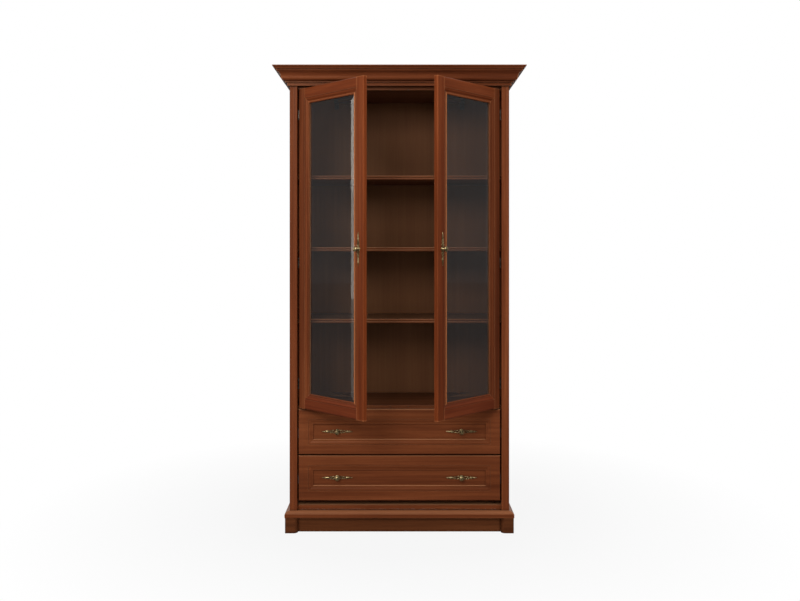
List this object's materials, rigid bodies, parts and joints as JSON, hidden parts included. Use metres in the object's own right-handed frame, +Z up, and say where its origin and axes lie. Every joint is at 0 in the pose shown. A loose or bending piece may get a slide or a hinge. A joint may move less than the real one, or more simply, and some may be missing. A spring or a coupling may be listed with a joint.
{
  "type": "bookcase with glass doors",
  "caption": "Tall cherry bookcase with a crowned cornice, two framed glass doors on concealed hinges, loose shelves and wide drawers with antique brass pulls.",
  "frame": {"origin": "on the floor, in the middle of the width, on the rear plane that stands against the wall", "axes": "+Z up, -Y towards the front where the doors and drawers open, +X to the right seen from the front"},
  "size_m": [1.1, 0.7088, 2.04],
  "materials": {
    "cherry_outside": "satin cherry-coloured foil on board, vertical grain",
    "cherry_front": "satin cherry-coloured foil on moulded board",
    "cherry_inside": "satin cherry-coloured foil on board",
    "back_board": "thin lacquered fibreboard, dark brown",
    "drawer_box": "foil-faced board",
    "clear_glass": "clear float glass with a wide polished bevel",
    "antique_brass": "antique brass, dark in the recesses and rubbed bright on high points",
    "nickel_steel": "nickel-plated steel",
    "brown_steel": "steel angle, powder-coated dark brown",
    "stop_rubber": "translucent soft stop"
  },
  "bodies": {
    "cabinet": {"plinth_front": "cherry_outside", "plinth_sides": "cherry_outside", "plinth_rear": "cherry_outside", "base_moulding_front": "cherry_outside", "base_moulding_sides": "cherry_outside", "front_feet": "cherry_outside", "rear_feet": "cherry_outside", "side_panel_left": "cherry_outside", "side_panel_right": "cherry_outside", "pilaster_left": "cherry_outside", "pilaster_right": "cherry_outside", "header_rail": "cherry_outside", "crown_moulding_front": "cherry_outside", "crown_moulding_sides": "cherry_outside", "top_board": "cherry_outside", "top_panel": "cherry_inside", "middle_panel": "cherry_inside", "bottom_panel": "cherry_inside", "rear_header_rail": "cherry_inside", "shelf_lower": "cherry_inside", "shelf_middle": "cherry_inside", "shelf_upper": "cherry_inside", "runner_spacers": "cherry_inside", "back_panel_lower": "back_board", "back_panel_upper": "back_board", "shelf_pins": "nickel_steel", "hinge_arms": "nickel_steel", "hinge_plates": "nickel_steel", "cabinet_runners": "nickel_steel", "wall_brackets": "brown_steel", "door_bumpers": "stop_rubber"},
    "door_left": {"door_left_hinge_stile": "cherry_front", "door_left_free_stile": "cherry_front", "door_left_bottom_rail": "cherry_front", "door_left_top_rail": "cherry_front", "door_left_glass": "clear_glass", "door_left_glass_beads": "cherry_front", "door_left_hinges": "nickel_steel", "door_left_handle": "antique_brass"},
    "door_right": {"door_right_hinge_stile": "cherry_front", "door_right_free_stile": "cherry_front", "door_right_bottom_rail": "cherry_front", "door_right_top_rail": "cherry_front", "door_right_glass": "clear_glass", "door_right_glass_beads": "cherry_front", "door_right_hinges": "nickel_steel", "door_right_handle": "antique_brass"},
    "drawer_lower": {"drawer_lower_front": "cherry_front", "drawer_lower_sides": "drawer_box", "drawer_lower_back": "drawer_box", "drawer_lower_bottom": "back_board", "drawer_lower_runners": "nickel_steel", "drawer_lower_handles": "antique_brass"},
    "drawer_upper": {"drawer_upper_front": "cherry_front", "drawer_upper_sides": "drawer_box", "drawer_upper_back": "drawer_box", "drawer_upper_bottom": "back_board", "drawer_upper_runners": "nickel_steel", "drawer_upper_handles": "antique_brass"}
  },
  "joints": [
    {"name": "door_left_hinge", "type": "hinge", "parent": "cabinet", "child": "door_left", "pos_m": [-0.431, -0.3815, 0.544], "axis": [0, 0, -1], "range_deg": [-47.4, 44.6]},
    {"name": "door_right_hinge", "type": "hinge", "parent": "cabinet", "child": "door_right", "pos_m": [0.431, -0.3815, 0.544], "axis": [0, 0, 1], "range_deg": [-49, 43]},
    {"name": "drawer_lower_slide", "type": "slide", "parent": "cabinet", "child": "drawer_lower", "axis": [0, -1, 0], "range_m": [0, 0.28]},
    {"name": "drawer_upper_slide", "type": "slide", "parent": "cabinet", "child": "drawer_upper", "axis": [0, -1, 0], "range_m": [0, 0.28]}
  ]
}
